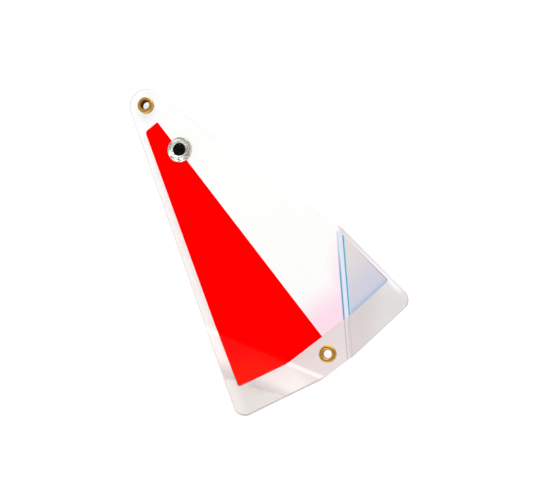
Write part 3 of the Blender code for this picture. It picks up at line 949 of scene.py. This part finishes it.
class FLASHER_OT_grommets(bpy.types.Operator):
    """Set a brass grommet and its washer in each hole"""

    bl_idname = "flasher.grommets"
    bl_label = "Grommets"

    def execute(self, context):
        blade, grommets = settings("blade"), settings("grommets")
        brass = stamped_brass()
        for end, x in (("nose", 0.0), ("tail", tail_edge() - grommets.tail_inset)):
            centre = Vector((x, 0.0, 0.0))
            shape = spun(self.grommet_profile(blade.thickness / 2, grommets), centre, closed=True)
            self.split_lip(shape, x, blade.thickness / 2, grommets)
            piece(f"{end}_brass_grommet", shape, brass, f"{end}_grommet", sharp=60.0)
            shape = spun(self.washer_profile(blade.thickness / 2, grommets), centre, closed=True)
            piece(f"{end}_brass_washer", shape, brass, f"{end}_washer")
        return {"FINISHED"}

    @staticmethod
    def grommet_profile(seat, grommets):
        """Half section of a grommet: rounded flange, barrel and rolled lip."""
        barrel = grommets.bore + grommets.wall
        crown = seat + grommets.crown
        outer, inner = crown_rounds(grommets)
        lip_top = -(seat + grommets.washer_thickness + HAIR)
        lip_low = lip_top - grommets.lip_depth
        roll = grommets.lip_depth / 2
        foot = 0.15 * MM  # rounding where the flange meets the blade
        return [
            *arc((grommets.bore + inner, crown - inner), inner, 180, 90, 12),
            *arc((grommets.flange - outer, crown - outer), outer, 90, 0, 10),
            *arc((grommets.flange - foot, seat + foot + HAIR), foot, 0, -90, 4),
            (barrel, seat + HAIR),
            (barrel, lip_top),
            *arc((grommets.lip - roll, lip_top - roll), roll, 90, -90, 12),
            *arc((grommets.bore + roll, lip_low + roll), roll, 270, 180, 8),
        ]

    @staticmethod
    def washer_profile(seat, grommets):
        """Half section of a washer with its stamped edge rolled over."""
        inner = grommets.bore + grommets.wall + grommets.clearance / 2
        top, low = -(seat + HAIR), -(seat + grommets.washer_thickness)
        edge = 0.45 * grommets.washer_thickness
        return [
            (inner, top),
            *arc((grommets.washer - edge * 0.5, top - edge * 0.5), edge * 0.5, 90, 0, 4),
            *arc((grommets.washer - edge, low + edge), edge, 0, -90, 6),
            (inner, low),
        ]

    @staticmethod
    def split_lip(shape, x, seat, grommets):
        """Draws the lip in between its lobes, where the brass split as it rolled."""
        narrowness = 9  # how fast a split closes to either side
        barrel = grommets.bore + grommets.wall
        for vertex in shape.verts:
            across = Vector((vertex.co.x - x, vertex.co.y))
            if vertex.co.z > -(seat + grommets.washer_thickness) or across.length < barrel:
                continue
            wave = abs(math.sin(math.atan2(across.y, across.x) * grommets.lobes / 2))
            drawn_in = grommets.lip_split * math.exp(-wave * narrowness)
            across *= 1 - drawn_in / across.length
            vertex.co.x, vertex.co.y = x + across.x, across.y


class FLASHER_OT_eyes(bpy.types.Operator):
    """Set a raised eye on both faces of the blade"""

    bl_idname = "flasher.eyes"
    bl_label = "Eyes"

    def execute(self, context):
        blade, film, eyes = settings("blade"), settings("film"), settings("eyes")
        base = blade.thickness / 2 + film.thickness
        foil_top = base + eyes.foil
        foil, ink, resin = crinkled_foil(), printed_black(), cast_resin()
        for face_name, face in (("front", FRONT), ("back", BACK)):
            centre = Vector((eyes.from_nose, face * eyes.off_axis, 0.0))
            shape = self.foil_ring(centre, base + HAIR, foil_top, eyes)
            face_over(shape, face)
            piece(f"{face_name}_eye_ring", shape, foil, f"{face_name}_eye_foil", sharp=0.0)
            disc = [(0.0, foil_top), (eyes.pupil_radius, foil_top), (eyes.pupil_radius, base), (0.0, base)]
            shape = spun(disc, centre, closed=False)
            face_over(shape, face)
            piece(f"{face_name}_eye_print", shape, ink, f"{face_name}_eye_pupil")
            shape = spun(self.dome_profile(base, eyes), centre, closed=False)
            face_over(shape, face)
            piece(f"{face_name}_eye_lens", shape, resin, f"{face_name}_eye_dome", sharp=50.0)
        return {"FINISHED"}

    @staticmethod
    def dome_profile(base, eyes):
        """Half section of the dome: a cap on an upright rim, cast over the foil and the pupil."""
        shoulder = base + eyes.rim
        rise = eyes.top - shoulder
        ball = (eyes.radius**2 + rise**2) / (2 * rise)
        edge = math.degrees(math.asin(eyes.radius / ball))
        cap = arc((0.0, eyes.top - ball), ball, 90, 90 - edge, 24)
        return [(0.0, eyes.top), *cap[1:], (eyes.radius, base), (0.0, base)]

    @staticmethod
    def foil_ring(centre, base, top, eyes):
        """A ring of foil with its face creased into small facets."""
        chance = random.Random(7)
        inner, outer = eyes.pupil_radius + HAIR, eyes.radius - eyes.foil_inset
        rings, spokes = 3, 20
        face = [(inner + (outer - inner) * ring / rings, top) for ring in range(rings + 1)]
        shape = spun([*face, (outer, base), (inner, base)], centre, closed=True, steps=spokes)
        upper = {vertex for vertex in shape.verts if vertex.co.z > (top + base) / 2}
        for vertex in shape.verts:
            if vertex in upper:
                vertex.co.z += chance.uniform(0.0, 1.0) * eyes.crinkle
        bmesh.ops.triangulate(shape, faces=[face for face in shape.faces if upper.issuperset(face.verts)])
        return shape


class FLASHER_OT_stage(bpy.types.Operator):
    """Set up the camera, the floor and soft light"""

    bl_idname = "flasher.stage"
    bl_label = "Stage"

    def execute(self, context):
        stage = settings("stage")
        self.camera(context, stage)
        self.floor(context, stage)
        self.light(context, stage)
        return {"FINISHED"}

    @staticmethod
    def camera(context, stage):
        """A camera nearly overhead, looking at the middle of the flasher."""
        flat = math.cos(stage.elevation)
        east, north = math.sin(stage.azimuth) * flat, math.cos(stage.azimuth) * flat
        back = Vector((east, -north, math.sin(stage.elevation)))
        data = bpy.data.cameras.new("camera")
        data.lens = stage.lens
        data.clip_start, data.clip_end = 0.01, 20.0
        made = bpy.data.objects.new("camera", data)
        made.location = Vector(stage.aim) + back * stage.distance
        level = (-back).to_track_quat("-Z", "Y").to_matrix()
        made.rotation_euler = (level @ Matrix.Rotation(stage.roll, 3, "Z")).to_euler()
        context.scene.collection.objects.link(made)
        context.scene.camera = made

    @staticmethod
    def floor(context, stage):
        """A wide sheet of white paper with fibres 0.67 mm apart, lit a little from below."""
        half_size = 3.0
        made, tree = new_finish("white_backlit_paper")
        place = add(tree, "TexCoord", output="Object")
        fibres = add(tree, "TexNoise", {"Vector": place, "Scale": scale_of(0.667), "Detail": 2.0})
        shader = add(
            tree,
            "BsdfPrincipled",
            {
                "Base Color": tuple(stage.floor),
                "Roughness": 0.9,
                "Specular IOR Level": 0.0,
                "Emission Color": WHITE,
                "Emission Strength": stage.floor_glow,
                "Normal": add(tree, "Bump", {"Height": fibres, "Distance": 0.02 * MM}),
            },
        )
        add(tree, "OutputMaterial", {0: shader})
        shape = bmesh.new()
        lowest = Matrix.Translation((0.0, 0.0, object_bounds()[0][2]))
        bmesh.ops.create_grid(shape, x_segments=1, y_segments=1, size=half_size, matrix=lowest)
        mesh = bpy.data.meshes.new("floor")
        shape.to_mesh(mesh)
        shape.free()
        mesh.materials.append(made)
        paper = bpy.data.objects.new("floor", mesh)
        context.scene.collection.objects.link(paper)
        paper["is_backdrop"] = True

    @staticmethod
    def light(context, stage):
        """Even light all round, a large soft lamp from beyond the nose and a weaker one opposite."""
        world = bpy.data.worlds.new("studio")
        world.use_nodes = True
        tree = world.node_tree
        tree.nodes.clear()
        upward = add(tree, "SeparateXYZ", {0: add(tree, "TexCoord", output="Object")}, "Z")
        strength = add(tree, "MapRange", {0: upward, 1: 0.0, 2: 1.0, 3: stage.horizon, 4: stage.zenith})
        even = add(tree, "Background", {"Color": WHITE, "Strength": strength})
        add(tree, "OutputWorld", {0: even})
        context.scene.world = world
        lamps = (
            ("key", stage.key, Vector((-1.0, 0.75, 1.3)), 2.0),
            ("fill", stage.fill, Vector((0.6, -0.8, 0.9)), 1.2),
        )
        for name, power, place, size in lamps:
            data = bpy.data.lights.new(name, "AREA")
            data.shape = "DISK"
            data.size = size
            data.energy = power
            lamp = bpy.data.objects.new(name, data)
            lamp.location = place
            lamp.rotation_euler = (-place).to_track_quat("-Z", "Y").to_euler()
            context.scene.collection.objects.link(lamp)
        context.scene.view_settings.view_transform = "Standard"


class FLASHER_PT_panel(bpy.types.Panel):
    """Sizes, colours and the steps that build the flasher"""

    bl_idname = "FLASHER_PT_panel"
    bl_label = "Trolling flasher"
    bl_space_type = "VIEW_3D"
    bl_region_type = "UI"
    bl_category = "Flasher"

    def draw(self, context):
        for operator in OPERATORS:
            self.layout.operator(operator.bl_idname)
        for name, group in GROUPS.items():
            box = self.layout.box()
            box.label(text=group.__doc__)
            for key in group.__annotations__:
                box.prop(getattr(context.scene, name), key)


OPERATORS = (FLASHER_OT_blade, FLASHER_OT_films, FLASHER_OT_grommets, FLASHER_OT_eyes, FLASHER_OT_stage)
CLASSES = (*GROUPS.values(), *OPERATORS, FLASHER_PT_panel)


def register():
    """Registers the classes and gives the scene its sizes and colours."""
    for each in CLASSES:
        bpy.utils.register_class(each)
    for name, group in GROUPS.items():
        setattr(bpy.types.Scene, name, PointerProperty(type=group))


def unregister():
    """Takes away what register() added."""
    for name in GROUPS:
        delattr(bpy.types.Scene, name)
    for each in reversed(CLASSES):
        bpy.utils.unregister_class(each)


def main():
    """Builds the flasher and its stage."""
    register()
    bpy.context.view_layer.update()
    bpy.ops.flasher.blade()
    bpy.ops.flasher.films()
    bpy.ops.flasher.grommets()
    bpy.ops.flasher.eyes()
    bpy.ops.flasher.stage()


if __name__ == "__main__":
    main()
